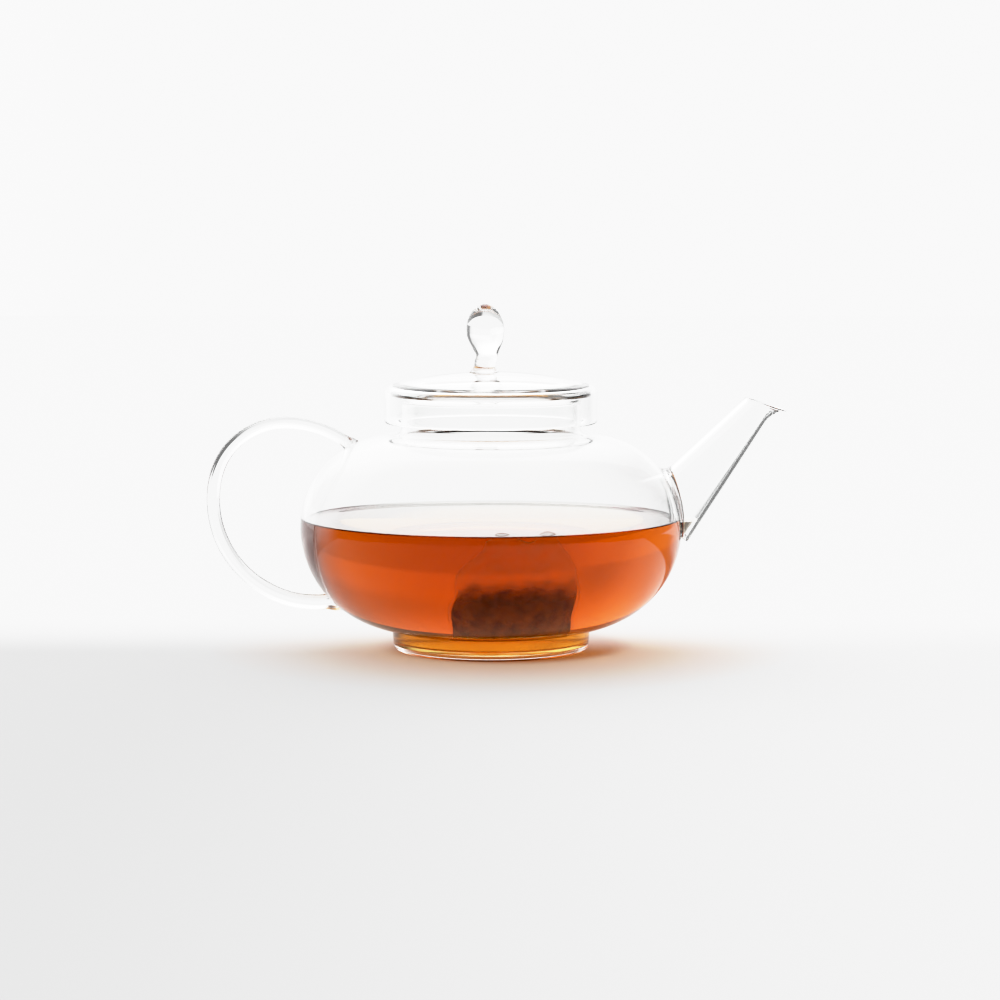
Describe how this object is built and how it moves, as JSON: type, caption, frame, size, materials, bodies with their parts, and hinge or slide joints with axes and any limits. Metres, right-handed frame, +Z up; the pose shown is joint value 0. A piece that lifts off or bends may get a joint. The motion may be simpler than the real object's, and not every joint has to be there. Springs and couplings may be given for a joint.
{
  "type": "teapot",
  "caption": "Clear glass teapot with a wide flattened bowl, foot ring, straight tapered spout, bent-rod ear handle and a domed lid with a drop knob that lifts off.",
  "frame": {"origin": "where the axis of the bowl meets the table the pot stands on", "axes": "+Z up along the axis of the bowl, +X towards the spout, -X towards the handle"},
  "size_m": [0.2428, 0.16, 0.1446],
  "materials": {
    "clear_glass": "gloss",
    "tea": "gloss",
    "bag_cloth": "satin",
    "tea_leaf": "matte"
  },
  "bodies": {
    "pot": {"bowl": "clear_glass", "foot_ring": "clear_glass", "spout": "clear_glass", "handle": "clear_glass"},
    "lid": {"lid_cap": "clear_glass", "lid_knob": "clear_glass"}
  },
  "joints": [
    {"name": "lid_lift", "type": "slide", "parent": "pot", "child": "lid", "axis": [0, 0, 1], "range_m": [0, 0.1]}
  ]
}
